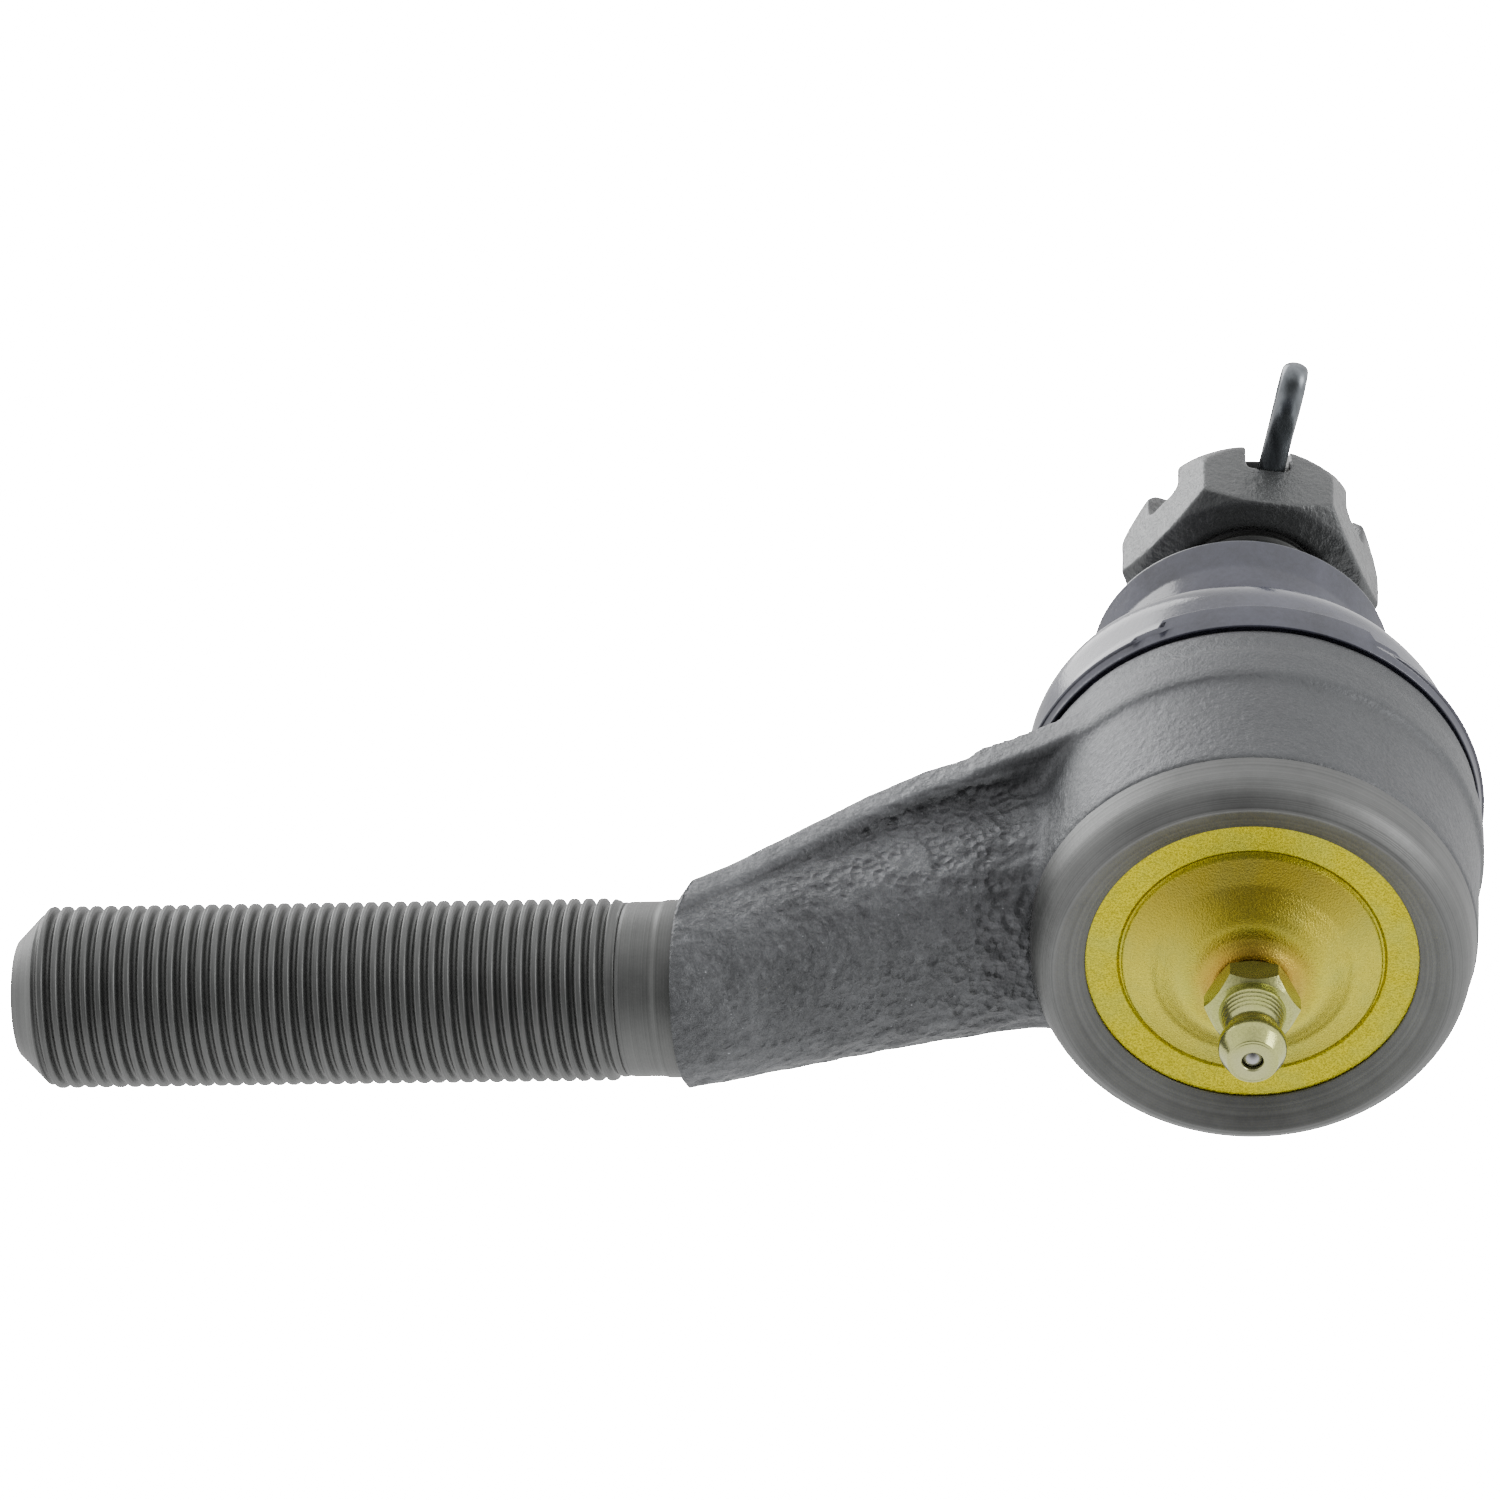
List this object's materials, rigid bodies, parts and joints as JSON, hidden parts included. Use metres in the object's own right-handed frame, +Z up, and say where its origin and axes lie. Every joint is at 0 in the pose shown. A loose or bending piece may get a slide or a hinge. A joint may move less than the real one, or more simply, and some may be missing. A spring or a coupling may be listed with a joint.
{
  "type": "tie rod end",
  "caption": "Steering tie rod end: threaded shank and arm, round greaseable housing, ball stud in a dust boot, castle nut and split pin.",
  "frame": {"origin": "centre of the ball", "axes": "+Z up the stud towards the castle nut, -X towards the threaded end of the arm, the grease fitting points along -Z"},
  "size_m": [0.1413, 0.0448, 0.0906],
  "materials": {
    "forged_steel": "dark grey phosphate over rough forging, turned rim and rolled thread",
    "yellow_zinc": "yellow chromated zinc plate",
    "gasket_fibre": "oil-proof gasket",
    "spring_steel": "bright drawn wire",
    "bearing_steel": "ground and oiled",
    "stud_steel": "machined and phosphated",
    "nut_steel": "dark phosphate",
    "pin_steel": "drawn half-round wire, blue-grey",
    "boot_rubber": "glossy moulded rubber, grey-violet bloom",
    "ring_plastic": "moulded nylon",
    "fitting_zinc": "pale yellow zinc plate",
    "ball_steel": "polished"
  },
  "bodies": {
    "housing": {"housing": "forged_steel", "cover_plate": "yellow_zinc", "cover_gasket": "gasket_fibre", "preload_spring": "spring_steel", "grease_fitting": "fitting_zinc", "check_spring": "spring_steel"},
    "upper_seat": {"upper_bearing": "bearing_steel", "dust_boot": "boot_rubber", "boot_lip_ring": "spring_steel"},
    "half_ball": {"half_ball_bearing": "bearing_steel", "boot_collar_ring": "ring_plastic"},
    "stud": {"ball_stud": "stud_steel", "castle_nut": "nut_steel"},
    "split_pin": {"split_pin": "pin_steel"},
    "pressure_seat": {"pressure_seat": "bearing_steel"},
    "check_ball": {"check_ball": "ball_steel"}
  },
  "joints": [
    {"name": "swing_direction", "type": "hinge", "parent": "housing", "child": "upper_seat", "pos_m": [0, 0, 0], "axis": [0, 0, 1], "continuous": true},
    {"name": "stud_swing", "type": "hinge", "parent": "upper_seat", "child": "half_ball", "pos_m": [0, 0, 0], "axis": [0, 1, 0], "range_deg": [-20, 20], "deforming": ["dust_boot"]},
    {"name": "stud_spin", "type": "hinge", "parent": "half_ball", "child": "stud", "pos_m": [0, 0, 0], "axis": [0, 0, 1], "continuous": true},
    {"name": "split_pin_pull", "type": "slide", "parent": "stud", "child": "split_pin", "axis": [0.2974, -0.9548, 0], "range_m": [-0.0015, 0.036]},
    {"name": "pressure_seat_travel", "type": "slide", "parent": "housing", "child": "pressure_seat", "axis": [0, 0, 1], "range_m": [-0.0005, 0], "stiffness_N_per_m": 40000, "springref_m": 0.002, "deforming": ["preload_spring"]},
    {"name": "check_ball_travel", "type": "slide", "parent": "housing", "child": "check_ball", "axis": [0, 0, 1], "range_m": [0, 0.0008], "stiffness_N_per_m": 200, "springref_m": -0.001, "deforming": ["check_spring"]}
  ]
}
